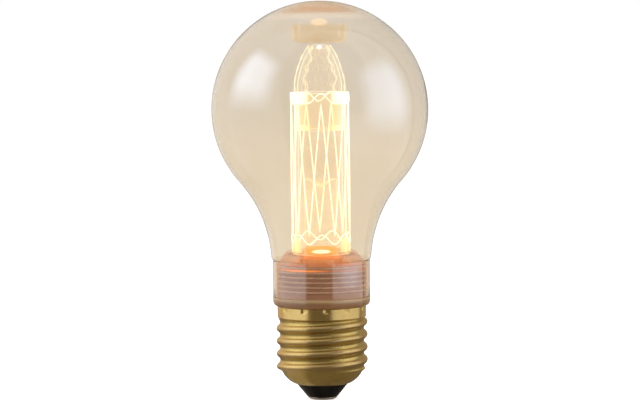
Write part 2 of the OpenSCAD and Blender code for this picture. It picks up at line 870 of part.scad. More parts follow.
// Tube swept along a route of points, each ring square to the mean direction of its two stretches
wire_sides = 8;
function unit(v) = v / norm(v);
function run_at(route, i) =
    i == 0 ? unit(route[1] - route[0])
    : i == len(route) - 1 ? unit(route[i] - route[i - 1])
    : unit(unit(route[i] - route[i - 1]) + unit(route[i + 1] - route[i]));
function wire_ring(route, i, r) =
    let (t = run_at(route, i), u = unit(cross(t, [0.36, 0.93, 0.07])), v = cross(t, u))
    [
        for (k = [0 : wire_sides - 1])
            let (a = k * 360 / wire_sides)
            route[i] + r * (u * cos(a) + v * sin(a))
    ];

module wire(route, d) {
    rings = len(route);
    points = [for (i = [0 : rings - 1]) each wire_ring(route, i, d / 2)];
    sides = [
        for (i = [0 : rings - 2], k = [0 : wire_sides - 1])
            let (a = i * wire_sides + k, b = i * wire_sides + (k + 1) % wire_sides)
            each [[a, b, b + wire_sides], [a, b + wire_sides, a + wire_sides]]
    ];
    first = [for (k = [1 : wire_sides - 2]) [0, k + 1, k]];
    top = (rings - 1) * wire_sides;
    last = [for (k = [1 : wire_sides - 2]) [top, top + k, top + k + 1]];
    polyhedron(points = points, faces = [for (f = concat(sides, first, last)) [f[0], f[2], f[1]]]);
}

wire_r = wire_d / 2;
live_y = front_y - wire_r;
// Length of a wire soldered along the board
solder_l = 3;
live_straight = 0.6;
live_bend = 1;

module live_wire() {
    color([0.62, 0.12, 0.10])
    wire([
        [0, 0, pin_top_z + touch_gap],
        [0, 0, pin_top_z + live_straight],
        [0, live_y / 2, board_low_z - live_straight - live_bend],
        [0, live_y, board_low_z - live_straight],
        [0, live_y, board_low_z + solder_l]
    ], wire_d);
}

// The bare wire leaves the board below the stub, and runs up its groove to the shell's plain rim
neutral_x = board_half - 1.8;
neutral_y = front_y - bare_d / 2;
neutral_tail = 1.5;
neutral_bend = 0.6;
neutral_foot_z = stub_z - 3 * neutral_bend;

module neutral_wire() {
    color([0.80, 0.80, 0.78])
    wire([
        [neutral_x, neutral_y, neutral_foot_z - neutral_tail],
        [neutral_x, neutral_y, neutral_foot_z],
        [neutral_low_r - 2 * slide_gap, neutral_y, neutral_foot_z + neutral_bend],
        [neutral_low_r, 0, stub_z - neutral_bend / 2],
        [neutral_low_r, 0, rim_low_z - neutral_bend],
        [neutral_high_r, 0, rim_low_z + neutral_bend],
        [neutral_high_r, 0, crimp_z - crimp_groove_h]
    ], bare_d);
}

// Two wires from the driver's board up through the heat spreader to the light source's board
led_wire_straight = 0.4;
led_wire_bend = 4.4;
led_wire_low_z = board_top_z + led_wire_straight;

module led_wires() {
    color([0.75, 0.10, 0.10])
    for (a = wire_angles)
        let (x = pad_r * cos(a), y = pad_r * sin(a))
        wire([
            [x, back_y + wire_r, board_top_z - solder_l],
            [x, back_y + wire_r, led_wire_low_z],
            [x, (back_y + y) / 2, led_wire_low_z + led_wire_bend / 2],
            [x, y, led_wire_low_z + led_wire_bend],
            [x, y, led_z + free_gap]
        ], wire_d);
}

glass_envelope();
glue_rings();
holder();
guide_tube();
guide_crown();
light_pipe();
led_base();
led_phosphor();
led_board();
board_screws();
heat_spreader();
screw_shell();
insulator();
contact_plate();
contact_pin();
driver_board();
can_capacitor();
film_capacitor();
choke_core();
choke_winding();
bridge_rectifier();
driver_chip();
sense_resistors();
fusing_resistor();
live_wire();
neutral_wire();
led_wires();
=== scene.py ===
import math
import bmesh
import bpy
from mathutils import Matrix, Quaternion, Vector


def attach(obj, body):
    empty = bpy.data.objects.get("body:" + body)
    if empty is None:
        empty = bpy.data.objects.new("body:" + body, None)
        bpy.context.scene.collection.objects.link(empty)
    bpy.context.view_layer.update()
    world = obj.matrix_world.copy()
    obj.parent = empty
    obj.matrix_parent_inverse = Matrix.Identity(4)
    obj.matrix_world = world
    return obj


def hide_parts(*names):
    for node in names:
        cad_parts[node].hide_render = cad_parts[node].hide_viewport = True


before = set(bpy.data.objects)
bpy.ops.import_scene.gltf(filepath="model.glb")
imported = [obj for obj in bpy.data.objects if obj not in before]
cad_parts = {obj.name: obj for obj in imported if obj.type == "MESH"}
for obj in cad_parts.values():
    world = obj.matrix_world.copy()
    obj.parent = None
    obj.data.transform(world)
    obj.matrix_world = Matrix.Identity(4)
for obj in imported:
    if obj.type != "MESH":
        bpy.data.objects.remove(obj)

scene = bpy.context.scene
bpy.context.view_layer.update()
mm = 0.001
fullTurn = 2 * math.pi

# Camera

lensView = {"lens": 185.5, "sensor": 36, "eye": (-0.2, -940, 126.5), "aim": (-0.2, 0, 57.4), "roll": -0.58}


def placeCamera():
    data = bpy.data.cameras.new("photoCamera")
    data.lens = lensView["lens"]
    data.sensor_width = lensView["sensor"]
    data.clip_start = 0.01
    camera = bpy.data.objects.new("photoCamera", data)
    scene.collection.objects.link(camera)
    eye = Vector(lensView["eye"]) * mm
    aim = Vector(lensView["aim"]) * mm
    camera.location = eye
    straight = (aim - eye).to_track_quat("-Z", "Y")
    camera.rotation_euler = (straight @ Quaternion((0, 0, 1), math.radians(lensView["roll"]))).to_euler()
    scene.camera = camera


placeCamera()
scene.view_settings.view_transform = "Standard"
scene.cycles.transparent_max_bounces = 32  # the clear walls of the guide lie many deep
print("camera placed")

# Node helpers


def feed(tree, socket, value):  # a socket is linked, and a plain value or colour is set
    if isinstance(value, bpy.types.NodeSocket):
        tree.links.new(value, socket)
    else:
        socket.default_value = (*value, 1) if socket.type == "RGBA" else value


def connect(tree, sockets, **values):  # Base_Color stands for the socket Base Color
    for label, value in values.items():
        feed(tree, sockets[label.replace("_", " ")], value)


def addNode(tree, kind, given=(), **settings):  # given goes to the inputs, by label or in their order
    node = tree.nodes.new("ShaderNode" + kind)
    for key, value in settings.items():
        setattr(node, key, value)
    for label, value in given.items() if isinstance(given, dict) else enumerate(given):
        feed(tree, node.inputs[label], value)
    return node.outputs


def calc(tree, operation, *values, clamp=False):
    return addNode(tree, "Math", values, operation=operation, use_clamp=clamp)[0]


def chained(tree, operation, values):
    result = values[0]
    for value in values[1:]:
        result = calc(tree, operation, result, value)
    return result


def times(tree, *values):
    return chained(tree, "MULTIPLY", values)


def most(tree, *values):
    return chained(tree, "MAXIMUM", values)


def scaled(tree, value, scale, offset):
    return calc(tree, "MULTIPLY_ADD", value, scale, offset)


def less(tree, value, taken):
    return calc(tree, "SUBTRACT", value, taken)


def squares(tree, first, second):  # sum of the two squares
    return scaled(tree, first, first, times(tree, second, second))


def remap(tree, value, low, high, toLow=0, toHigh=1, smooth=False):
    kind = "SMOOTHSTEP" if smooth else "LINEAR"
    given = (value, low, high, toLow, toHigh)
    return addNode(tree, "MapRange", given, clamp=True, interpolation_type=kind)[0]


def rise(tree, value, low, high):
    return remap(tree, value, low, high, smooth=True)


def fall(tree, value, low, high):
    return remap(tree, value, low, high, 1, 0, True)


def window(tree, value, low, high, soft):  # 1 from low to high, with soft edges
    return times(tree, rise(tree, value, low - soft, low + soft), fall(tree, value, high - soft, high + soft))


def blend(tree, share, first, second, how="MIX"):
    return addNode(tree, "Mix", {0: share, 6: first, 7: second}, data_type="RGBA", blend_type=how)[2]


def mixValue(tree, share, first, second):
    return addNode(tree, "Mix", {0: share, 2: first, 3: second}, data_type="FLOAT")[0]


def cloud(tree, place, scale, detail=3, rough=0.5):
    given = {"Vector": place, "Scale": scale, "Detail": detail, "Roughness": rough}
    return addNode(tree, "TexNoise", given)["Fac"]


def stretched(tree, place, scale):
    return addNode(tree, "Mapping", {"Vector": place, "Scale": scale})["Vector"]


def bumped(tree, height, strength, distance):
    given = {"Height": height, "Strength": strength, "Distance": distance * mm}
    return addNode(tree, "Bump", given)["Normal"]


def ramp(tree, value, stops):
    node = tree.nodes.new("ShaderNodeValToRGB")
    band = node.color_ramp
    while len(band.elements) < len(stops):
        band.elements.new(0.5)
    for element, (place, colour) in zip(band.elements, stops):
        element.position = place
        element.color = (*colour, 1)
    feed(tree, node.inputs[0], value)
    return node.outputs[0]


def glowing(tree, strength, colour=(1, 1, 1)):
    return addNode(tree, "Emission", {"Color": colour, "Strength": strength})[0]


def mixShaders(tree, share, first, second):
    return addNode(tree, "MixShader", (share, first, second))[0]


def facingOf(tree):  # 0 where a surface is seen straight on, 1 at its edge
    return addNode(tree, "LayerWeight", {"Blend": 0.5})["Facing"]


def frontOnly(tree):
    return less(tree, 1, addNode(tree, "NewGeometry")["Backfacing"])


def axisOf(tree, place, axis):
    return addNode(tree, "SeparateXYZ", (place,))[axis]


def heightOf(tree, place):  # in millimetres, for masks along the lamp's axis
    return times(tree, axisOf(tree, place, "Z"), 1 / mm)


def turnOf(tree, place):  # degrees round the axis from the front towards +X
    depth = times(tree, axisOf(tree, place, "Y"), -1)
    return calc(tree, "DEGREES", calc(tree, "ARCTAN2", axisOf(tree, place, "X"), depth))


def lengthOf(tree, place):
    return addNode(tree, "VectorMath", (place,), operation="LENGTH")["Value"]


def radiusOf(tree, place):  # distance from the lamp's axis in millimetres
    flat = addNode(tree, "VectorMath", (place, (1, 1, 0)), operation="MULTIPLY")[0]
    return times(tree, lengthOf(tree, flat), 1 / mm)


def newGroup(name, given, made):
    group = bpy.data.node_groups.new(name, "ShaderNodeTree")
    for way, labels in (("INPUT", given), ("OUTPUT", made)):
        for label in labels:
            kind = "NodeSocketVector" if label == "Place" else "NodeSocketFloat"
            group.interface.new_socket(name=label, in_out=way, socket_type=kind)
    return group, group.nodes.new("NodeGroupInput").outputs[:3], group.nodes.new("NodeGroupOutput").inputs


def useGroup(tree, group, place, *scales):
    return addNode(tree, "Group", (place, *scales), node_tree=group)


def newFinish(name, **plain):
    finish = bpy.data.materials.new(name)
    finish.use_nodes = True
    tree = finish.node_tree
    shader = tree.nodes["Principled BSDF"].inputs
    connect(tree, shader, **plain)
    return finish, tree, shader, addNode(tree, "TexCoord")["Object"]


# Shared effects


def makeDust():  # fine specks and long soft smears on clear and glossy surfaces
    group, (place, speckScale, smearScale), made = newGroup(
        "dustAndSmears", ("Place", "Speck Scale", "Smear Scale"), ("Specks", "Smears"))
    grit = addNode(group, "TexVoronoi", {"Vector": place, "Scale": speckScale})["Distance"]
    patch = cloud(group, place, times(group, speckScale, 0.2))
    smears = cloud(group, stretched(group, place, (1, 1, 0.35)), smearScale, 5, 0.6)
    connect(group, made, Smears=remap(group, smears, 0.35, 0.7),
            Specks=times(group, remap(group, grit, 0.05, 0.12, 1, 0), remap(group, patch, 0.5, 0.62)))
    return group


def makeGrain():  # fine moulded grain and faint flow marks of plastics, ceramics and resins
    group, (place, grainScale, flowScale), made = newGroup(
        "mouldedGrain", ("Place", "Grain Scale", "Flow Scale"), ("Grain", "Flow"))
    flow = addNode(group, "TexNoise", {"Vector": place, "Scale": flowScale, "Distortion": 1.5})["Fac"]
    connect(group, made, Grain=cloud(group, place, grainScale, 2, 0.6), Flow=remap(group, flow, 0.3, 0.7))
    return group


def makeTarnish():  # cloudy stain, drawn scratches and pits of sheet metal
    group, (place, stainScale, scratchScale), made = newGroup(
        "tarnishAndScratches", ("Place", "Stain Scale", "Scratch Scale"), ("Stain", "Scratches", "Pits"))
    stain = cloud(group, place, stainScale, 5, 0.62)
    lines = cloud(group, stretched(group, place, (1, 1, 14)), scratchScale, 2, 0.7)
    pits = addNode(group, "TexVoronoi", {"Vector": place, "Scale": times(group, stainScale, 9)})["Distance"]
    connect(group, made, Stain=remap(group, stain, 0.38, 0.66), Scratches=remap(group, lines, 0.4, 0.7),
            Pits=remap(group, pits, 0.08, 0.16, 1, 0))
    return group


def twoTone(name, group, scales, shown, tones, rough, relief, **plain):  # shown: tone, polish and relief
    finish, tree, shader, place = newFinish(name, **plain)
    marks = useGroup(tree, group, place, *scales)
    tone, polish, height = (marks[label] for label in shown)
    connect(tree, shader, Base_Color=blend(tree, tone, *tones), Roughness=scaled(tree, polish, *rough),
            Normal=bumped(tree, height, *relief))
    return finish


dust = makeDust()
grain = makeGrain()
tarnish = makeTarnish()
print("shared effects made")

# Mesh helpers


def pick(settings, *keys):
    return [settings[key] for key in keys]


def cleaned(mesh):
    bmesh.ops.remove_doubles(mesh, verts=mesh.verts[:], dist=1e-7)
    bmesh.ops.recalc_face_normals(mesh, faces=mesh.faces[:])
    return mesh


def spun(points, steps, closed=False):  # points are (radius, height) or (radius, height, rounding)
    mesh = bmesh.new()
    corners = [mesh.verts.new((p[0] * mm, 0, p[1] * mm)) for p in points]
    for first, second in zip(corners, corners[1:]):
        mesh.edges.new((first, second))
    if closed:
        mesh.edges.new((corners[-1], corners[0]))
    for size in sorted({p[2] for p in points if len(p) > 2}):
        chosen = [v for v, p in zip(corners, points) if len(p) > 2 and p[2] == size]
        bmesh.ops.bevel(mesh, geom=chosen, offset=size * mm, offset_type="OFFSET", segments=4,
                        profile=0.5, affect="VERTICES", material=-1)
    bmesh.ops.spin(mesh, geom=mesh.verts[:] + mesh.edges[:], cent=(0, 0, 0), axis=(0, 0, 1),
                   angle=fullTurn, steps=steps, use_merge=True, use_duplicate=False)
    return cleaned(mesh)


def arc(centre, radius, first, last, count):  # points of an arc, angles in degrees
    angles = [math.radians(first + (last - first) * i / count) for i in range(count + 1)]
    return [(centre[0] + radius * math.cos(angle), centre[1] + radius * math.sin(angle)) for angle in angles]


def around(radius, turn, height, share=1):  # turn in degrees from the front towards +X
    angle = math.radians(turn)
    return (radius * math.sin(angle), -radius * math.cos(angle), height, share)


def tubeMesh(paths, radius, closed=False, fine=3):  # a bead on each path of (x, y, z, share of radius)
    line = bpy.data.curves.new("beadPath", "CURVE")
    line.dimensions = "3D"
    line.bevel_depth = radius * mm
    line.bevel_resolution = fine
    line.use_fill_caps = not closed
    for path in paths:
        spline = line.splines.new("POLY")
        spline.points.add(len(path) - 1)
        spline.use_cyclic_u = closed
        for point, (x, y, z, share) in zip(spline.points, path):
            point.co = (x * mm, y * mm, z * mm, 1)
            point.radius = share
    carrier = bpy.data.objects.new("beadPath", line)
    mesh = bmesh.new()
    mesh.from_mesh(bpy.data.meshes.new_from_object(carrier))
    bpy.data.objects.remove(carrier)
    bpy.data.curves.remove(line)
    return cleaned(mesh)


def newObject(name, mesh, finish):
    data = bpy.data.meshes.new(name)
    mesh.to_mesh(data)
    mesh.free()
    data.materials.append(finish)
    thing = bpy.data.objects.new(name, data)
    scene.collection.objects.link(thing)
    return thing


def addStage(name, mesh, finish):
    piece = newObject(name, mesh, finish)
    return piece


def finishPiece(name, mesh, finish, node=None, sharp=35):
    piece = newObject(name, mesh, finish)
    piece.data.shade_smooth()
    piece.data.set_sharp_from_angle(angle=math.radians(sharp))
    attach(piece, "root")
    if node:
        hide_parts(node)
    return piece


# Studio

studio = {
    "floorSize": 6, "floorColour": (0.9, 0.9, 0.9), "floorMottle": (0.93, 0.93, 0.92), "floorGlow": 0.6,
    "skyForShade": 0.5, "clothFade": (0.12, 0.5),
    "softboxes": [
        {"name": "leftSoftbox", "turn": -86, "rise": 30, "away": 0.75, "size": (0.62, 0.62), "power": 4},
        {"name": "rightSoftbox", "turn": 69, "rise": 19, "away": 0.75, "size": (0.52, 0.66), "power": 4},
    ],
    "glassLights": [
        {"name": "leftGlint", "turn": -80, "away": 0.28, "height": 0.245, "size": (0.38, 0.36), "power": 3.1,
         "colour": (0.62, 0.76, 1)},
        {"name": "rightGlint", "turn": 72, "away": 0.2, "height": 0.14, "size": (0.28, 0.3), "power": 1.45,
         "colour": (0.55, 0.73, 1)},
    ],
}
tent = {  # levels of light, then bands of turns in degrees with their softness, heights and distances
    "radius": 0.6, "side": 0.95, "back": 0.42, "backLeft": 0.85, "front": 0.17, "floor": 0.2, "right": 0.85,
    "gap": 0.04, "warm": (1, 0.84, 0.66), "slant": 0.65, "nearLeft": 0.75,
    "frontTurn": (-36, 25.5, 3.5), "rightTurn": (25.5, 105, 8), "leftTurn": (-130, -36, 12),
    "stripeTurn": (22, 47, 4), "gapTurn": (113, 118, 1), "backTurn": (105, 120),
    "frontUp": (0.2, 0.7, 1, 0.5), "stripeUp": (0.03, 0.15, 0, 0.95), "across": (-0.6, 0.3),
    "near": (0.03, 0.16),
}


def makeWorld():
    world = bpy.data.worlds.new("studioWorld")
    world.use_nodes = True
    tree = world.node_tree
    rays = addNode(tree, "LightPath")
    strength = most(tree, rays["Is Camera Ray"], rays["Is Transmission Ray"], rays["Is Glossy Ray"],
                    studio["skyForShade"])
    connect(tree, tree.nodes["Background"].inputs, Color=(1, 1, 1), Strength=strength)
    scene.world = world


def makeFloor():
    finish, tree, shader, place = newFinish("paleFloor", Roughness=0.8)
    mottle = remap(tree, cloud(tree, place, 6), 0.3, 0.7)
    feed(tree, shader["Base Color"], blend(tree, mottle, studio["floorColour"], studio["floorMottle"]))
    body = tree.nodes["Principled BSDF"].outputs[0]
    rays = addNode(tree, "LightPath")
    lit = addNode(tree, "AddShader", (body, glowing(tree, studio["floorGlow"])))[0]
    shown = mixShaders(tree, rays["Is Camera Ray"], body, lit)
    shown = mixShaders(tree, rays["Is Transmission Ray"], shown, glowing(tree, 1))
    through = addNode(tree, "BsdfTransparent")[0]  # for a camera below the floor
    below = addNode(tree, "NewGeometry")["Backfacing"]
    feed(tree, tree.nodes["Material Output"].inputs["Surface"], mixShaders(tree, below, shown, through))
    mesh = bmesh.new()
    bmesh.ops.create_grid(mesh, x_segments=1, y_segments=1, size=studio["floorSize"])
    addStage("studioFloor", mesh, finish)


def addLight(given):
    data = bpy.data.lights.new(given["name"], "AREA")
    data.shape = "RECTANGLE"
    data.size, data.size_y = given["size"]
    data.energy = given["power"]
    data.color = given.get("colour", (1, 1, 1))
    lamp = bpy.data.objects.new(given["name"], data)
    scene.collection.objects.link(lamp)
    turn, climb = math.radians(given["turn"]), math.radians(given.get("rise", 0))
    ray = Vector((math.sin(turn) * math.cos(climb), -math.cos(turn) * math.cos(climb), math.sin(climb)))
    lamp.location = Vector((0, 0, given.get("height", 0.06))) + ray * given["away"]
    lamp.rotation_euler = (-ray).to_track_quat("-Z", "Y").to_euler()
    lamp.visible_camera = False
    lamp.visible_transmission = False
    return lamp


def softenEdges(lamp):  # a softbox is brightest in the middle of its cloth
    lamp.data.use_nodes = True
    tree = lamp.data.node_tree
    cloth = addNode(tree, "NewGeometry")["Parametric"]
    offs = [calc(tree, "ABSOLUTE", less(tree, axisOf(tree, cloth, way), 0.5)) for way in "XY"]
    fades = [fall(tree, off, *studio["clothFade"]) for off in offs]
    feed(tree, tree.nodes["Emission"].inputs["Strength"], times(tree, *fades))


def makeLights():
    for given in studio["softboxes"]:
        addLight(given)
    for given in studio["glassLights"]:  # glints that only the glass shows
        lamp = addLight(given)
        lamp.visible_diffuse = False
        lamp.light_linking.receiver_collection = glintCollection
        softenEdges(lamp)


def makeTent():  # the dim room round the lamp, as glossy surfaces show it
    finish, tree, _, place = newFinish("tentCloth")
    turn = turnOf(tree, place)
    side, up = (calc(tree, "DIVIDE", axisOf(tree, place, way), tent["radius"]) for way in "XZ")
    pulled = times(tree, turn, remap(tree, up, 0, 1, 1, tent["slant"]))  # slants out as it climbs
    behind = rise(tree, calc(tree, "ABSOLUTE", turn), *tent["backTurn"])
    back = remap(tree, side, *tent["across"], tent["backLeft"], tent["back"], True)
    level = mixValue(tree, behind, tent["side"], back)
    front = times(tree, window(tree, pulled, *tent["frontTurn"]), remap(tree, up, *tent["frontUp"], True))
    level = mixValue(tree, front, level, tent["front"])
    right = window(tree, turn, *tent["rightTurn"])
    level = times(tree, level, remap(tree, right, 0, 1, 1, tent["right"]))
    stripe = times(tree, window(tree, pulled, *tent["stripeTurn"]), remap(tree, up, *tent["stripeUp"], True))
    level = mixValue(tree, stripe, level, tent["front"])
    level = mixValue(tree, window(tree, turn, *tent["gapTurn"]), level, tent["gap"])
    # the floor near the lamp's foot is dimmed, less on the left: a painted shadow, as shiny surfaces show it
    left = remap(tree, window(tree, turn, *tent["leftTurn"]), 0, 1, 1, tent["nearLeft"])
    near = times(tree, fall(tree, lengthOf(tree, place), *tent["near"]), left)
    level = mixValue(tree, near, level, tent["floor"])
    glow = glowing(tree, level, blend(tree, most(tree, behind, front, near), (1, 1, 1), tent["warm"]))
    feed(tree, tree.nodes["Material Output"].inputs["Surface"], glow)
    radius, lift = tent["radius"] / mm, 0.3
    mesh = spun([(0, lift), (radius, lift)] + arc((0, lift), radius, 0, 90, 16)[1:-1] + [(0, radius)], 64)
    cloth = addStage("tent", mesh, finish)
    for way in ("camera", "diffuse", "transmission", "shadow", "volume_scatter"):
        setattr(cloth, "visible_" + way, False)


glintCollection = bpy.data.collections.new("glintReceivers")
makeWorld()
makeFloor()
makeLights()
makeTent()
print("studio lit")

# Globe glass

globe = {
    "radius": 30.95, "centre": 83.35, "wall": 0.8,
    "neckRadius": 13.9, "foot": 29.9, "stepLow": 40.4, "stepHigh": 41,
    "flareRadius": 36.69, "flareCentre": (50.94, 38.85),
    "high": (0.852, 0.798, 0.72), "low": (0.903, 0.82, 0.698), "deep": (0.96, 0.945, 0.915),
    "pole": (0.87, 0.64, 0.44), "poleFrom": (110, 114), "neck": (0.84, 0.66, 0.5), "neckTo": (39.6, 41.4),
    "halo": (1.09, 1.07, 1.06), "haloHigh": (109.5, 110.9, 0.7), "speck": (0.75, 0.7, 0.62),
}
mirrored = {  # the lit foot of the guide in its holder, as the far wall of the globe mirrors it
    "colour": (1, 0.7, 0.37), "rim": (1.15, 0.95, 0.66), "crescent": (0.84, 0.52, 0.3),
    "rimGlow": (0.2, 0.15, 0.05), "sourceGlow": (0.34, 0.21, 0.05),
    "bend": (-2.2, 239.9),  # slope and offset of the shift by which the glass bends the view
    "top": (106.6, 108.8), "sides": (-120, -60), "halfWide": 5.6, "foot": 104, "corner": (1.9, 2.3),
    "rimCorner": (1.6, 2, 0.25), "rimSide": (5.4, 5.8, 0.3), "rimFoot": (102.6, 103.6),
    "crescentWide": (-80, 110, 30), "crescentHigh": (111.2, 112.8, 0.4),
    "source": 108.1, "sourceHalf": 0.95, "sourceFade": (0.2, 1.4), "sourceSides": (-40, -15),
}


def globeHalf(inset):  # outline of the glass from its foot to its top
    radius, centre, bend, flare, foot = pick(globe, "radius", "centre", "flareRadius", "flareCentre", "foot")
    share = radius / (radius + bend)
    joinHeight = centre - (centre - flare[1]) * share
    stepTurn = 180 - math.degrees(math.asin((globe["stepHigh"] - flare[1]) / bend))
    joinTurn = 180 - math.degrees(math.asin((joinHeight - flare[1]) / bend))
    globeTurn = -math.degrees(math.acos(flare[0] * share / radius))
    neck = globe["neckRadius"] - inset
    points = [(neck, foot, 0.2), (neck, 34), (neck, 37.5), (neck, globe["stepLow"], 0.25)]
    points += arc(flare, bend + inset, stepTurn, joinTurn, 26)
    points += arc((0, centre), radius - inset, globeTurn, 90, 60)[1:]
    points[-1] = (0, points[-1][1])
    return points


def mirroredFoot(tree, place, height, away, colour):  # drawn from the height and the angle of the far wall
    inner = globe["radius"] - globe["wall"]
    up = less(tree, height, globe["centre"])
    deep = times(tree, less(tree, 1, facingOf(tree)), inner)
    square = less(tree, inner ** 2, squares(tree, up, deep))  # of the distance from the image's middle
    square = less(tree, square, scaled(tree, height, *mirrored["bend"]))
    reach = calc(tree, "SQRT", squares(tree, up, away))
    inside = remap(tree, reach, globe["radius"] - 0.5, globe["radius"] - 0.3, 1, 0)
    inside = times(tree, inside, frontOnly(tree))
    aside = calc(tree, "SQRT", most(tree, square, 0))
    acrossCorner = most(tree, less(tree, aside, mirrored["halfWide"]), 0)
    downCorner = most(tree, less(tree, mirrored["foot"], height), 0)
    corner = calc(tree, "SQRT", squares(tree, acrossCorner, downCorner))
    shown = times(tree, inside, fall(tree, height, *mirrored["top"]), rise(tree, square, *mirrored["sides"]))
    patch = times(tree, shown, fall(tree, corner, *mirrored["corner"]))
    rim = times(tree, window(tree, aside, *mirrored["rimSide"]), rise(tree, height, *mirrored["rimFoot"]))
    rim = most(tree, window(tree, corner, *mirrored["rimCorner"]), rim)
    uneven = remap(tree, cloud(tree, stretched(tree, place, (1, 1, 0.5)), 260), 0.35, 0.65)
    image = blend(tree, times(tree, uneven, 0.4), mirrored["colour"], mirrored["rim"])
    colour = blend(tree, patch, colour, image, "MULTIPLY")
    crescent = times(tree, window(tree, square, *mirrored["crescentWide"]),
                     window(tree, height, *mirrored["crescentHigh"]), inside)
    colour = blend(tree, crescent, colour, mirrored["crescent"], "MULTIPLY")
    half = mirrored["sourceHalf"]
    upright = scaled(tree, height, 1 / half, -mirrored["source"] / half)
    lit = fall(tree, scaled(tree, upright, upright, times(tree, square, 0.25)), *mirrored["sourceFade"])
    lit = times(tree, lit, inside, rise(tree, square, *mirrored["sourceSides"]))
    glow = blend(tree, times(tree, rim, shown, uneven), (0, 0, 0), mirrored["rimGlow"])
    return colour, blend(tree, lit, glow, mirrored["sourceGlow"])


def amberGlass():
    finish, tree, shader, place = newFinish("amberGlass", Transmission_Weight=1, IOR=1.5, Coat_IOR=2.3,
                                            Coat_Roughness=0.03, Emission_Strength=1)
    specks, smears = useGroup(tree, dust, place, 900, 45)
    height = heightOf(tree, place)
    away = radiusOf(tree, place)
    tint = remap(tree, cloud(tree, stretched(tree, place, (1, 1, 0.6)), 38), 0.35, 0.68)
    neck = fall(tree, height, *globe["neckTo"])
    colour = blend(tree, rise(tree, height, 60, 95), globe["low"], globe["high"])
    colour = blend(tree, tint, colour, globe["deep"], "MULTIPLY")
    colour = blend(tree, neck, colour, globe["neck"])
    # deeper amber at the top of the glass, which also serves as a painted reflection of the lit guide
    colour = blend(tree, rise(tree, height, *globe["poleFrom"]), colour, globe["pole"])
    colour = blend(tree, times(tree, specks, 0.25), colour, globe["speck"])
    # a painted bright ring near the top of the glass
    colour = blend(tree, window(tree, height, *globe["haloHigh"]), colour, globe["halo"], "MULTIPLY")
    colour, glow = mirroredFoot(tree, place, height, away, colour)
    outside = remap(tree, away, globe["neckRadius"] - 0.3, globe["neckRadius"] - 0.2)
    connect(tree, shader, Base_Color=colour, Emission_Color=glow,
            Coat_Weight=times(tree, neck, outside, 0.75), Roughness=scaled(tree, smears, 0.02, 0.005),
            Normal=bumped(tree, cloud(tree, place, 55, 1), 0.06, 1))
    return finish


def makeGlobe():  # one outline, down the inside and up the outside
    mesh = spun(globeHalf(globe["wall"])[::-1] + globeHalf(0), 160)
    piece = finishPiece("globe_glass", mesh, amberGlass(), "glass_envelope", 60)
    piece.visible_shadow = False
    glintCollection.objects.link(piece)


makeGlobe()
print("globe blown")

# Etched light guide

guide = {
    "outer": 8.35, "shoulder": 88.2, "capTop": 101.7, "capWall": 0.9, "rodRadius": 4.6,
    "tube": [(8.35, 42.1, 0.1), (8.35, 65), (8.35, 88.2, 0.15), (7.25, 88.2, 0.15), (7.25, 65),
             (7.25, 42.1, 0.1)],
    "skirt": [(6.25, 77.5, 0.1), (7.15, 77.5, 0.1), (7.15, 88.1)],
    "rod": [(0, 42.65), (3.45, 42.65, 0.1), (3.45, 41.9, 0.1), (4.6, 41.9, 0.1), (4.6, 63.4, 0.2),
            (3.9, 63.4, 0.1), (0, 61.2)],
    "crown": [(7.25, 88.2), (7.25, 91), (6.98, 92.6), (6.6, 94.2), (6.12, 95.8), (5.58, 97.3),
              (4.92, 98.8), (4.15, 100.2), (3.4, 101.3), (3, 101.7)],
    "hub": [(0, 100.5), (0.55, 100.6, 0.2), (0.7, 101.1, 0.2), (0.45, 101.55, 0.15), (0, 101.6)],
    "crownLines": (-88, -35, 38, 86, 143, -146), "faintLines": (-170, -128, -62, -12, 9, 31, 66, 110, 152),
}
etching = {
    "count": 7, "turn": 2.3, "long": (47.8, 85.4), "lowWave": (45.4, 48.1), "highWave": (85.4, 88.1),
    "bead": 0.19, "capBead": 0.22, "thinBead": 0.07, "capSwell": 0.35, "thinSwell": 0.15,
    "sways": [(3.6, 9, 2.1), (2.2, 21, 4.3)],  # degrees, rate along the line, shift from line to line
    "glows": {"etchedGlow": 1.55, "hubGlow": 2.5, "capGlow": 1, "faintGlow": 0.75},
}
guideLooks = {  # bands are low, high, most, the facing at which they start, and their light
    "etchedAcrylic": {
        "straight": 0.04, "halfway": 0.06, "inner": 0.35, "dip": 0.15, "edge": 0.9, "strength": 1.3,
        "bands": [(85, 88.2, 0.95, 0.06, (0.95, 1.1, 1.1)), (41.5, 46.5, 0.42, 0.3, (0.95, 0.84, 0.46))],
        "stops": [(0, (0.95, 0.6, 0.18)), (0.1, (0.93, 0.88, 0.55)), (0.3, (0.88, 0.98, 0.9)),
                  (0.78, (0.88, 1, 1))],
        "plain": (0.95, 0.62, 0.16)},
    "capAcrylic": {
        "straight": 0.02, "halfway": 0.03, "inner": 0.05, "dip": 0.3, "edge": 0.55, "strength": 1.3,
        "bands": [(77, 78.6, 0.7, 0.06, (0.95, 0.98, 0.68)), (78.6, 85, 0.13, 0.06, (0.95, 0.98, 0.68))],
        "stops": [(0, (0.9, 0.9, 0.65)), (0.75, (0.9, 0.86, 0.6)), (1, (0.9, 0.9, 0.7))],
        "plain": (0.95, 0.62, 0.16)},
    "rodAcrylic": {
        "straight": 0.055, "halfway": 0.09, "inner": 0.1, "dip": 0.3, "edge": 0.6, "strength": 1,
        "bands": [(40, 44, 0.95, -0.3, (0.97, 0.26, 0))],
        "stops": [(0, (0.95, 0.5, 0.1)), (0.08, (0.95, 0.7, 0.28)), (0.36, (0.95, 0.86, 0.55))],
        "plain": (0.95, 0.88, 0.46), "spot": (43, 0.72, 3), "spotLight": (1.5, 1.5, 1)},
}
facings = {"straight": (0, 0.4), "inner": (0.42, 0.48), "dip": (0.49, 0.55), "edge": (0.7, 0.82)}


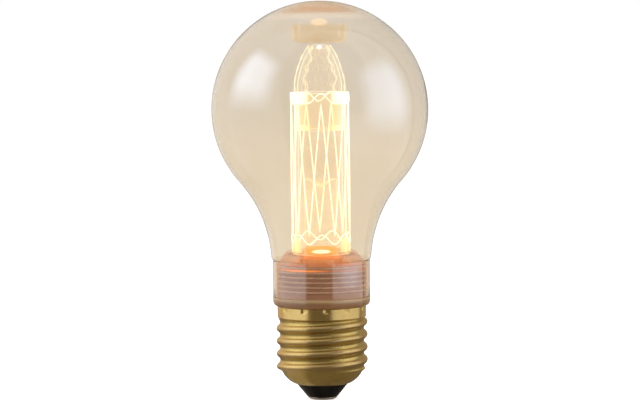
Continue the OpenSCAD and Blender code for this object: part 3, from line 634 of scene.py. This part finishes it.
def clearAcrylic(name, look):  # clear where it is seen straight on, full of light at its edges
    finish, tree, shader, place = newFinish(name, IOR=1.49, Emission_Strength=look["strength"])
    specks, smears = useGroup(tree, dust, place, 1500, 160)
    turned = facingOf(tree)
    height = heightOf(tree, place)
    body = remap(tree, turned, *facings["straight"], look["straight"], look["halfway"], True)
    first = remap(tree, turned, *facings["inner"], 0, look["inner"], True)
    dip = remap(tree, turned, *facings["dip"], 1, look["dip"], True)
    last = remap(tree, turned, *facings["edge"], 0, look["edge"], True)
    clear = scaled(tree, smears, 0.01, most(tree, body, times(tree, first, dip), last))
    light = ramp(tree, remap(tree, height, 42, 102), look["stops"])
    light = blend(tree, rise(tree, turned, 0.1, 0.6), look["plain"], light)
    gathered = 0
    for low, high, strongest, start, colour in look["bands"]:  # light gathers where the pieces are joined
        ending = remap(tree, height, high - 0.2, high + 0.2, strongest, 0, True)
        inBand = rise(tree, height, low - 0.5, low + 0.5)
        inBand = times(tree, inBand, ending, rise(tree, turned, start, start + 0.14))
        gathered = most(tree, gathered, inBand)
        light = blend(tree, inBand, light, colour)
    if "spot" in look:  # the light source, as the round foot of the rod shows it
        middle, halfHigh, halfWide = look["spot"]
        straight = less(tree, 1, turned)
        across = less(tree, 1, times(tree, straight, straight))
        across = times(tree, across, (guide["rodRadius"] / halfWide) ** 2)
        up = scaled(tree, height, 1 / halfHigh, -middle / halfHigh)
        inSpot = times(tree, fall(tree, scaled(tree, up, up, across), 0.45, 1.1), frontOnly(tree))
        light = blend(tree, inSpot, light, look["spotLight"])
    connect(tree, shader, Alpha=calc(tree, "MAXIMUM", clear, gathered, clamp=True), Emission_Color=light,
            Base_Color=blend(tree, specks, (0.3, 0.2, 0.1), (0.9, 0.8, 0.6)),
            Roughness=scaled(tree, smears, 0.1, 0.08))
    return finish


def glowLine(name, strength):
    finish, tree, shader, place = newFinish(name, Emission_Strength=strength)
    pulse = cloud(tree, place, 900, 2)
    tone = blend(tree, remap(tree, pulse, 0.35, 0.65), (1, 0.98, 0.84), (1, 0.88, 0.6))
    body = blend(tree, pulse, (0.12, 0.1, 0.06), (0.2, 0.16, 0.1))
    connect(tree, shader, Emission_Color=tone, Base_Color=body)
    return finish


def zigzag(low, high, rounded=False):
    path = []
    half = 180 / etching["count"]
    steps = 14
    for i in range(2 * etching["count"]):
        first = etching["turn"] + i * half
        start, end = (high, low) if i % 2 == 0 else (low, high)
        for k in range(steps):
            share = k / steps
            level = (1 - math.cos(share * math.pi)) / 2 if rounded else share
            path.append(around(guide["outer"] - 0.04, first + share * half, start + (end - start) * level))
    return path


def crownRadius(height):  # the crown's convex outline
    outline = guide["crown"]
    for (wide, low), (narrow, high) in zip(outline, outline[1:]):
        if height <= high:
            return wide + (narrow - wide) * (height - low) / (high - low)
    return outline[-1][0]


def capLine(inset, turn, seed, swelling):  # an uneven line from the shoulder to the crown's flat top
    line = []
    low, high = guide["shoulder"] + 0.1, guide["capTop"] - 0.2 - inset
    steps = 48
    for k in range(steps + 1):
        share = k / steps
        height = low + (high - low) * share
        reach = crownRadius(height + inset / 2) - inset
        sway = sum(size * math.sin(share * rate + seed * shift) for size, rate, shift in etching["sways"])
        swell = 1 + swelling * math.sin(share * 27 + seed * 1.7)
        line.append(around(reach, turn + sway * (1 + share), height, swell))
    return line


def makeGuide():
    wall, top, outside = pick(guide, "capWall", "capTop", "crown")
    inside = [(radius - wall, height - wall / 2) for radius, height in outside if height < 101][::-1]
    roof = [(0, top - wall), (inside[0][0] - 0.2, top - wall, 0.2)]
    cap = spun(roof + inside + guide["skirt"] + outside + [(0, top)], 128)
    waves = [zigzag(*etching[key], rounded=True) for key in ("lowWave", "highWave")]
    thick = [capLine(0.1, turn, i, etching["capSwell"]) for i, turn in enumerate(guide["crownLines"])]
    thin = [capLine(wall, turn, i + 3, etching["thinSwell"]) for i, turn in enumerate(guide["faintLines"])]
    made = [
        ("etched_tube", spun(guide["tube"], 128, True), "etchedAcrylic", "guide_tube"),
        ("guide_cap", cap, "capAcrylic", "guide_crown"),
        ("light_rod", spun(guide["rod"], 96), "rodAcrylic", "light_pipe"),
        ("cap_hub", spun(guide["hub"], 32), "hubGlow", None),
        ("etched_zigzag", tubeMesh([zigzag(*etching["long"])], etching["bead"], True), "etchedGlow", None),
        ("etched_waves", tubeMesh(waves, etching["bead"], True), "etchedGlow", None),
        ("cap_lines", tubeMesh(thick, etching["capBead"]), "capGlow", None),
        ("cap_inner_lines", tubeMesh(thin, etching["thinBead"]), "faintGlow", None),
    ]
    finishes = {name: clearAcrylic(name, look) for name, look in guideLooks.items()}
    finishes.update((name, glowLine(name, strength)) for name, strength in etching["glows"].items())
    for name, mesh, finish, node in made:
        finishPiece(name, mesh, finishes[finish], node).visible_shadow = False


makeGuide()
print("light guide etched")

# Light source

source = {
    "base": [(0, 41.9), (3.2, 41.9, 0.05), (3.2, 42.4, 0.12), (2.6, 42.4, 0.05), (2.6, 42.05), (0, 42.05)],
    "lit": [(0, 42.05), (2.6, 42.05, 0.02), (2.6, 42.35, 0.04), (0, 42.4)],
}


def makeSource():
    # the white ceramic round the LED glows orange: painted light from the LED
    finish, tree, shader, place = newFinish("ceramicDam", Roughness=0.45, Emission_Strength=0.9)
    fine, flow = useGroup(tree, grain, place, 5000, 600)
    connect(tree, shader, Normal=bumped(tree, fine, 0.3, 0.02),
            Base_Color=blend(tree, flow, (0.92, 0.88, 0.78), (0.85, 0.78, 0.62)),
            Emission_Color=blend(tree, flow, (1, 0.5, 0.1), (1, 0.4, 0.06)))
    finishPiece("led_carrier", spun(source["base"], 64), finish, "led_base")
    finish, tree, shader, place = newFinish(
        "phosphorGel", Base_Color=(1, 0.7, 0.2), Roughness=0.35, Emission_Strength=6)
    fine = useGroup(tree, grain, place, 4000, 500)["Grain"]
    feed(tree, shader["Emission Color"], blend(tree, fine, (1, 0.93, 0.6), (1, 0.82, 0.4)))
    finishPiece("lit_disc", spun(source["lit"], 64), finish, "led_phosphor")


makeSource()
print("light source lit")

# Holder and glue

holder = {
    "top": [(0, 40.9), (6.9, 40.9, 0.1), (6.9, 42.1, 0.1), (8.45, 42.1, 0.1), (8.45, 43, 0.15),
            (9.8, 43, 0.5), (12.75, 39.7, 0.25)],  # recess, seat of the tube, flat top and cone
    "flange": [(12.75, 29.9, 0.08), (13.95, 29.9, 0.2), (13.95, 28.45, 0.5), (13.6, 27.55, 0.4),
               (12.7, 27.2, 0.3)],
    "stub": [(12.3, 27.2, 0.05), (12.3, 24.2, 0.1), (11.6, 24.2, 0.1), (11.6, 19, 0.3), (10.3, 19, 0.2),
             (10.3, 37, 0.4), (0, 37)],
    "spigot": 12.75, "grooves": 6, "groovePitch": 1.36, "grooveTop": 38.86, "grooveHalf": 0.3,
    "grooveFloor": 12.3, "glueInner": 12.33, "glueOuter": 13.07, "glueHalf": 0.27,
}
rose = {  # colours of the plastic and of the painted light in it, and where along the lamp they lie
    "body": ((0.31, 0.16, 0.092), (0.26, 0.13, 0.074)), "cone": (0.46, 0.29, 0.2),
    "flange": ((0.17, 0.082, 0.03), (0.33, 0.22, 0.1)), "through": (0.42, 0.13, 0.02),
    "dimGlow": (0.03, 0.008, 0.002), "streak": ((0.3, 0.1, 0.04), (1.1, 0.34, 0.04)),
    "coneGlow": (0.14, 0.05, 0.018), "throughGlow": (0.55, 0.15, 0.008),
    "coneFrom": (38.9, 39.5), "flangeTo": (30.4, 29.9), "flangeHighlight": (28.7, 29.7), "lipFrom": (41.9, 42.3),
    "streakLow": (37.7, 38), "streakHigh": (38.3, 38.6), "beamFrom": (-75, -30), "beamTo": (-15, 15),
    "bodyAlpha": 0.94, "coneAlpha": 0.72, "throughAlpha": 0.45, "lipAlpha": 0.22,
    "throughFacing": (0.27, 0.42), "lipFacing": (0.6, 0.8),
}


def rosePlastic():  # translucent, so its cone lets the light source through; the glow in the plastic is painted light
    finish, tree, shader, place = newFinish(
        "rosePlastic", IOR=1.5, Emission_Strength=1, Coat_IOR=1.8, Coat_Roughness=0.06)
    fine, flow = useGroup(tree, grain, place, 3500, 120)
    height = heightOf(tree, place)
    turn = turnOf(tree, place)
    facing = facingOf(tree)
    cone = rise(tree, height, *rose["coneFrom"])
    flange = remap(tree, height, *rose["flangeTo"])
    body = blend(tree, cone, blend(tree, flow, *rose["body"]), rose["cone"])
    # the flange is lighter towards its top edge: a painted highlight
    edge = blend(tree, rise(tree, height, *rose["flangeHighlight"]), *rose["flange"])
    body = blend(tree, flange, body, edge)
    # a painted band of light round the holder, brightest at the front left
    streak = remap(tree, height, *rose["streakHigh"], 1, 0)
    streak = times(tree, streak, remap(tree, height, *rose["streakLow"]))
    beam = times(tree, rise(tree, turn, *rose["beamFrom"]), fall(tree, turn, *rose["beamTo"]))
    glow = blend(tree, streak, rose["dimGlow"], blend(tree, beam, *rose["streak"]))
    glow = blend(tree, cone, glow, rose["coneGlow"])
    # the shortest way through the cone shows most painted glow, and the thin lip shows the foot of the guide
    through = times(tree, cone, fall(tree, facing, *rose["throughFacing"]))
    thin = mixValue(tree, cone, rose["bodyAlpha"], rose["coneAlpha"])
    thin = mixValue(tree, through, thin, rose["throughAlpha"])
    lip = times(tree, rise(tree, height, *rose["lipFrom"]), fall(tree, facing, *rose["lipFacing"]))
    thin = mixValue(tree, lip, thin, rose["lipAlpha"])
    connect(tree, shader, Base_Color=blend(tree, through, body, rose["through"]),
            Emission_Color=blend(tree, through, glow, rose["throughGlow"]),
            Alpha=scaled(tree, flow, 0.06, thin), Coat_Weight=times(tree, flange, 0.7),
            Roughness=scaled(tree, fine, 0.15, 0.18), Normal=bumped(tree, fine, 0.15, 0.02))
    return finish


def makeHolder():
    spigot, floor, inner, outer = pick(holder, "spigot", "grooveFloor", "glueInner", "glueOuter")
    points = holder["top"][:]
    beads = bmesh.new()
    for i in range(holder["grooves"]):
        middle = holder["grooveTop"] - i * holder["groovePitch"]
        low, high = middle - holder["grooveHalf"], middle + holder["grooveHalf"]
        points += [(spigot, high, 0.12), (floor, high, 0.08), (floor, low, 0.08), (spigot, low, 0.12)]
        low, high = middle - holder["glueHalf"], middle + holder["glueHalf"]
        outline = [(inner, low, 0.1), (outer, low, 0.12), (outer, high, 0.12), (inner, high, 0.1)]
        bead = spun(outline, 128, True)
        ring = bpy.data.meshes.new("glueRing")
        bead.to_mesh(ring)
        bead.free()
        beads.from_mesh(ring)
        bpy.data.meshes.remove(ring)
    body = spun(points + holder["flange"] + holder["stub"], 144)
    finishPiece("holder_body", body, rosePlastic(), "holder")
    glue = twoTone("curedGlue", grain, (1800, 260), ("Flow", "Grain", "Flow"),
                   ((0.4, 0.27, 0.2), (0.55, 0.4, 0.31)), (0.3, 0.1), (0.4, 0.1), IOR=1.5)
    finishPiece("glue_beads", beads, glue, "glue_rings")


makeHolder()
print("holder moulded")

# Screw cap

cap = {
    "foot": 4.7, "shoulderRadius": 6.6, "shoulderX": 5.45, "shoulderZ": 11.02,
    "root": 12.05, "crest": 13.07, "pitch": 3.629, "start": 15.25, "rim": 12.7, "rimLow": 23.8, "top": 27.2,
    "threadLow": 8.2, "fade": 1.1, "sheet": 0.3,
    "dents": 12, "dentTurn": 5.5, "dentDrop": 0.7, "dentDepth": 0.36, "dentWide": 0.62, "dentDown": 0.8,
    "dentUp": 1.3,
    "bright": (0.6, 0.445, 0.158), "dull": (0.46, 0.33, 0.104), "crestTone": (0.62, 0.42, 0.23),
    # smooth lifts the brass on the rim and shoulder: a painted sheen
    "pit": (0.22, 0.13, 0.06), "smooth": (1.25, 1.25, 1.22), "crestFrom": (12.1, 13), "shoulderSheenTo": (9, 11),
}


def ease(value):
    value = max(0, min(1, value))
    return value * value * (3 - 2 * value)


def plainRadius(z):
    if z < cap["shoulderZ"]:
        return cap["shoulderX"] + math.sqrt(cap["shoulderRadius"] ** 2 - (cap["shoulderZ"] - z) ** 2)
    return cap["root"] + (cap["rim"] - cap["root"]) * ease((z - cap["rimLow"] + 0.25) / 0.5)


def threadRadius(turn, z):  # equal arcs round the crests and the roots
    root, crest, pitch = pick(cap, "root", "crest", "pitch")
    quarter = pitch / 4
    bend = quarter / math.sin(2 * math.atan((crest - root) / 2 / quarter))
    along = (z - cap["start"]) / pitch - turn / fullTurn
    away = abs(along - round(along)) * pitch
    if away < quarter:
        return crest - (bend - math.sqrt(bend ** 2 - away ** 2))
    return root + bend - math.sqrt(bend ** 2 - (2 * quarter - away) ** 2)


def dentAt(turn, z):  # a crimp pressed in from the rim's edge
    step = fullTurn / cap["dents"]
    first = math.radians(cap["dentTurn"] - 90)
    away = (turn - first) / step
    across = abs(away - round(away)) * step * cap["rim"]
    down = z - (cap["top"] - cap["dentDrop"])
    inside = 1 - math.hypot(across / cap["dentWide"], down / (cap["dentDown"] if down < 0 else cap["dentUp"]))
    return cap["dentDepth"] * ease(inside * 1.8)


def agedBrass():
    finish, tree, shader, place = newFinish("agedBrass", Metallic=1)
    stain, scratches, pits = useGroup(tree, tarnish, place, 130, 900)
    height = heightOf(tree, place)
    crest = remap(tree, radiusOf(tree, place), *cap["crestFrom"])
    colour = blend(tree, stain, cap["bright"], cap["dull"])
    # the thread crests are tinted redder
    colour = blend(tree, times(tree, crest, 0.35), colour, cap["crestTone"])
    colour = blend(tree, times(tree, pits, 0.5), colour, cap["pit"])
    rim = cap["rimLow"] - 0.3, cap["rimLow"] + 0.3
    smooth = most(tree, remap(tree, height, *rim), fall(tree, height, *cap["shoulderSheenTo"]))  # rim and shoulder, where the brass is made brighter: a painted sheen
    rough = scaled(tree, stain, 0.08, remap(tree, height, *rim, 0.25, 0.155))
    connect(tree, shader, Base_Color=blend(tree, smooth, colour, cap["smooth"], "MULTIPLY"),
            Roughness=scaled(tree, scratches, 0.06, rough), Normal=bumped(tree, scratches, 0.12, 0.02))
    return finish


def makeCap():
    rows = 150
    levels = [cap["foot"] + (cap["top"] - cap["foot"]) * i / rows for i in range(rows + 1)]
    mesh = spun([(plainRadius(z), z) for z in levels], 160)
    for vert in mesh.verts:
        z = vert.co.z / mm
        turn = math.atan2(vert.co.y, vert.co.x)
        share = ease((z - cap["threadLow"]) / cap["fade"]) * ease((cap["rimLow"] + 0.3 - z) / cap["fade"])
        radius = plainRadius(z) * (1 - share) + threadRadius(turn, z) * share - dentAt(turn, z)
        vert.co.xy = vert.co.xy.normalized() * radius * mm
    piece = finishPiece("rolled_cap", mesh, agedBrass(), "screw_shell", 70)
    sheet = piece.modifiers.new("sheet", "SOLIDIFY")
    sheet.thickness = cap["sheet"] * mm
    sheet.offset = -1
    sheet.use_even_offset = True


makeCap()
print("cap rolled")

# Insulator and contacts

contacts = {
    "insulator": [(1.05, 1, 0.1), (4.3, 1, 0.15), (4.8, 1.6, 0.35), (7.3, 4.65, 0.15), (7.05, 5.1, 0.1),
                  (8.2, 5.6, 0.1), (9.4, 6.5, 0.1), (10.3, 7.4, 0.1), (10.75, 8.2, 0.2), (3.2, 8.2, 0.2),
                  (3.2, 5.8, 0.1), (1.05, 5.8, 0.1)],
    "plate": [(1.05, 0.3), (3.4, 0.3, 0.2), (4.1, 0.65, 0.2), (4.1, 1, 0.05), (1.05, 1)],
    "rivet": [(0, 0.04), (0.9, 0.07, 0.3), (1.45, 0.16, 0.15), (1.7, 0.3, 0.03), (1, 0.3, 0.03),
              (1, 5.5, 0.1), (0, 5.6)],
}


def blackGlass():
    finish, tree, shader, place = newFinish("blackGlass", IOR=1.5, Specular_IOR_Level=0.1)
    specks, smears = useGroup(tree, dust, place, 1400, 220)
    fine, flow = useGroup(tree, grain, place, 2600, 180)
    body = blend(tree, flow, (0.005, 0.004, 0.003), (0.009, 0.008, 0.006))
    connect(tree, shader, Base_Color=blend(tree, specks, body, (0.12, 0.11, 0.1)),
            Roughness=scaled(tree, smears, 0.2, 0.12), Normal=bumped(tree, fine, 0.2, 0.03))
    return finish


def makeContacts():
    body = spun(contacts["insulator"], 128, True)
    finishPiece("cap_insulator", body, blackGlass(), "insulator")
    nickel = twoTone("contactNickel", tarnish, (260, 1500), ("Stain", "Stain", "Scratches"),
                     ((0.66, 0.61, 0.53), (0.52, 0.46, 0.38)), (0.15, 0.22), (0.1, 0.02), Metallic=1)
    plate = spun(contacts["plate"], 96, True)
    finishPiece("contact_disc", plate, nickel, "contact_plate")
    finishPiece("contact_rivet", spun(contacts["rivet"], 64), nickel, "contact_pin")


makeContacts()
print("contacts set")

# Inner pieces: the CAD nodes keep their shapes and get their finishes here

moulded = {  # finish, two colours, scales of grain and flow, roughness, and what else it shows
    "led_board": ("whiteSolder", (0.86, 0.84, 0.78), (0.74, 0.7, 0.62), 4000, 900, 0.4,
                  {"glow": (0.9, 0.22, 0.02)}),
    "driver_board": ("greenMask", (0.02, 0.16, 0.06), (0.04, 0.25, 0.1), 3500, 1400, 0.35,
                     {"traces": (110, 0.05, 0.3, 0.8)}),
    "can_capacitor": ("canSleeve", (0.012, 0.014, 0.025), (0.03, 0.033, 0.05), 5000, 300, 0.3,
                      {"bare": ("Z", 18.55, 5.44)}),
    "film_capacitor": ("dippedEpoxy", (0.36, 0.05, 0.02), (0.26, 0.03, 0.015), 2600, 700, 0.3,
                       {"bare": ("Z", 23.4, 3.02)}),
    "choke_core": ("ferrite", (0.03, 0.03, 0.032), (0.055, 0.053, 0.05), 6000, 1500, 0.7, {}),
    "driver_chip": ("chipEpoxy", (0.012, 0.012, 0.013), (0.03, 0.03, 0.03), 6500, 900, 0.5,
                    {"bare": ("Z", 15.5, 1.97)}),
    "bridge_rectifier": ("bridgeEpoxy", (0.014, 0.014, 0.015), (0.03, 0.028, 0.028), 5500, 700, 0.45,
                         {"bare": ("Z", 15.5, 2.02)}),
    "sense_resistors": ("senseGlaze", (0.015, 0.015, 0.017), (0.03, 0.03, 0.035), 7000, 1200, 0.3,
                        {"bare": ("Z", 20.15, 0.62)}),
    "fusing_resistor": ("blueLacquer", (0.06, 0.14, 0.32), (0.04, 0.1, 0.24), 3000, 800, 0.25,
                        {"bare": ("X", -4.5, 2.72)}),
}
metals = {  # finish, two colours, scale of the stain, roughness
    "board_screws": ("turnedZinc", (0.62, 0.62, 0.6), (0.46, 0.46, 0.45), 500, 0.3),
    "heat_spreader": ("bareAluminium", (0.8, 0.8, 0.81), (0.66, 0.66, 0.67), 180, 0.35),
    "neutral_wire": ("tinnedWire", (0.74, 0.73, 0.7), (0.58, 0.57, 0.54), 700, 0.28),
}
bareMetal = (0.72, 0.7, 0.66)
boardTracks = (0.1, 0.36, 0.13)


def mouldedFinish(name, first, second, grainScale, flowScale, rough, extra):
    finish, tree, shader, place = newFinish(name, Emission_Strength=1 if "glow" in extra else 0)
    fine, flow = useGroup(tree, grain, place, grainScale, flowScale)
    body = blend(tree, flow, first, second)
    if "bare" in extra:  # ends and leads beyond the moulded body are bare metal
        axis, middle, half = extra["bare"]
        away = calc(tree, "ABSOLUTE", less(tree, axisOf(tree, place, axis), middle * mm))
        bare = remap(tree, away, half * mm, (half + 0.02) * mm)
        body = blend(tree, bare, body, bareMetal)
        feed(tree, shader["Metallic"], bare)
    if "traces" in extra:  # tracks under the solder mask
        flat = addNode(tree, "CombineXYZ", (axisOf(tree, place, "X"), axisOf(tree, place, "Z")))[0]
        labels = ("Vector", "Scale", "Mortar Size", "Mortar Smooth", "Brick Width")
        given = dict(zip(labels, (flat, *extra["traces"])))
        tracks = addNode(tree, "TexBrick", given, offset=0.37, squash=1.6)["Fac"]
        body = blend(tree, times(tree, tracks, 0.55), body, boardTracks)
    if "glow" in extra:  # brightest round the light source
        near = remap(tree, radiusOf(tree, place), 3, 6.8, 1, 0.55)
        feed(tree, shader["Emission Color"], blend(tree, near, (0, 0, 0), extra["glow"]))
    connect(tree, shader, Base_Color=body, Roughness=scaled(tree, fine, 0.25, rough - 0.1),
            Normal=bumped(tree, fine, 0.35, 0.02))
    return finish


def metalFinish(name, first, second, stainScale, rough):
    return twoTone(name, tarnish, (stainScale, 2200), ("Stain", "Scratches", "Scratches"), (first, second),
                   (0.12, rough), (0.15, 0.02), Metallic=1)


for make, looks in ((mouldedFinish, moulded), (metalFinish, metals)):
    for node, look in looks.items():
        finish = make(*look)
        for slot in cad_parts[node].material_slots:
            slot.material = finish
print("inner pieces dressed")

# Winding and wires: round wire in place of the plain solids

wiring = {
    "post": (4.4, -0.55, 16.54), "low": 0.92, "high": 4.68, "inner": 1.66, "outer": 2.5,
    "turns": 15, "layers": 4, "wire": 0.12, "lead": 0.4, "pairX": 2.85,
    "live": [(0, 0, 5.65), (0, 0, 6.2), (0, -0.475, 6.9), (0, -0.95, 7.9), (0, -0.95, 11.5)],
    "pair": [(0.95, 24), (0.95, 27.4), (2.94, 29.6), (4.94, 31.8), (4.94, 42.2)],
}


def windingPath():  # layers of turns, each wound back over the one below
    path = []
    x, y, z = wiring["post"]
    inner, outer, low, high, turns, layers = pick(wiring, "inner", "outer", "low", "high", "turns", "layers")
    steps = 20
    for layer in range(layers):
        radius = inner + (outer - inner) * layer / (layers - 1)
        for i in range(turns * steps + (layer == layers - 1)):
            share = i / (turns * steps)
            depth = low + (high - low) * (share if layer % 2 == 0 else 1 - share)
            angle = fullTurn * i / steps
            path.append((x + radius * math.cos(angle), y - depth, z + radius * math.sin(angle), 1))
    return path


def smoothRoute(points, steps=6):  # a rounded line through the corners of a wire's route
    path = [(*points[0], 1)]
    for i in range(1, len(points) - 1):
        before, corner, after = (Vector(point) for point in points[i - 1:i + 2])
        start = corner + (before - corner) * (0.5 if i > 1 else 0.6)
        end = corner + (after - corner) * (0.5 if i < len(points) - 2 else 0.4)
        for k in range(steps + 1):
            share = k / steps
            spot = start.lerp(corner, share).lerp(corner.lerp(end, share), share)
            path.append((*spot, 1))
    path.append((*points[-1], 1))
    return path


def dipped(name, first, second, metallic=0):  # lacquered or insulated wire
    return twoTone(name, grain, (5000, 700), ("Flow", "Grain", "Grain"), (first, second),
                   (0.2, 0.22), (0.2, 0.01), Metallic=metallic)


def makeWiring():
    copper = dipped("enamelledCopper", (0.72, 0.3, 0.14), (0.55, 0.2, 0.09), 1)
    coil = tubeMesh([windingPath()], wiring["wire"], fine=1)
    finishPiece("copper_coil", coil, copper, "choke_winding")
    red = dipped("redSleeve", (0.42, 0.015, 0.012), (0.32, 0.01, 0.01))
    live = tubeMesh([smoothRoute(wiring["live"])], wiring["lead"])
    finishPiece("live_lead", live, red, "live_wire")
    sides = (-wiring["pairX"], wiring["pairX"])
    pair = [smoothRoute([(x, *point) for point in wiring["pair"]]) for x in sides]
    finishPiece("source_leads", tubeMesh(pair, wiring["lead"]), red, "led_wires")


makeWiring()
print("choke wound and wires run")
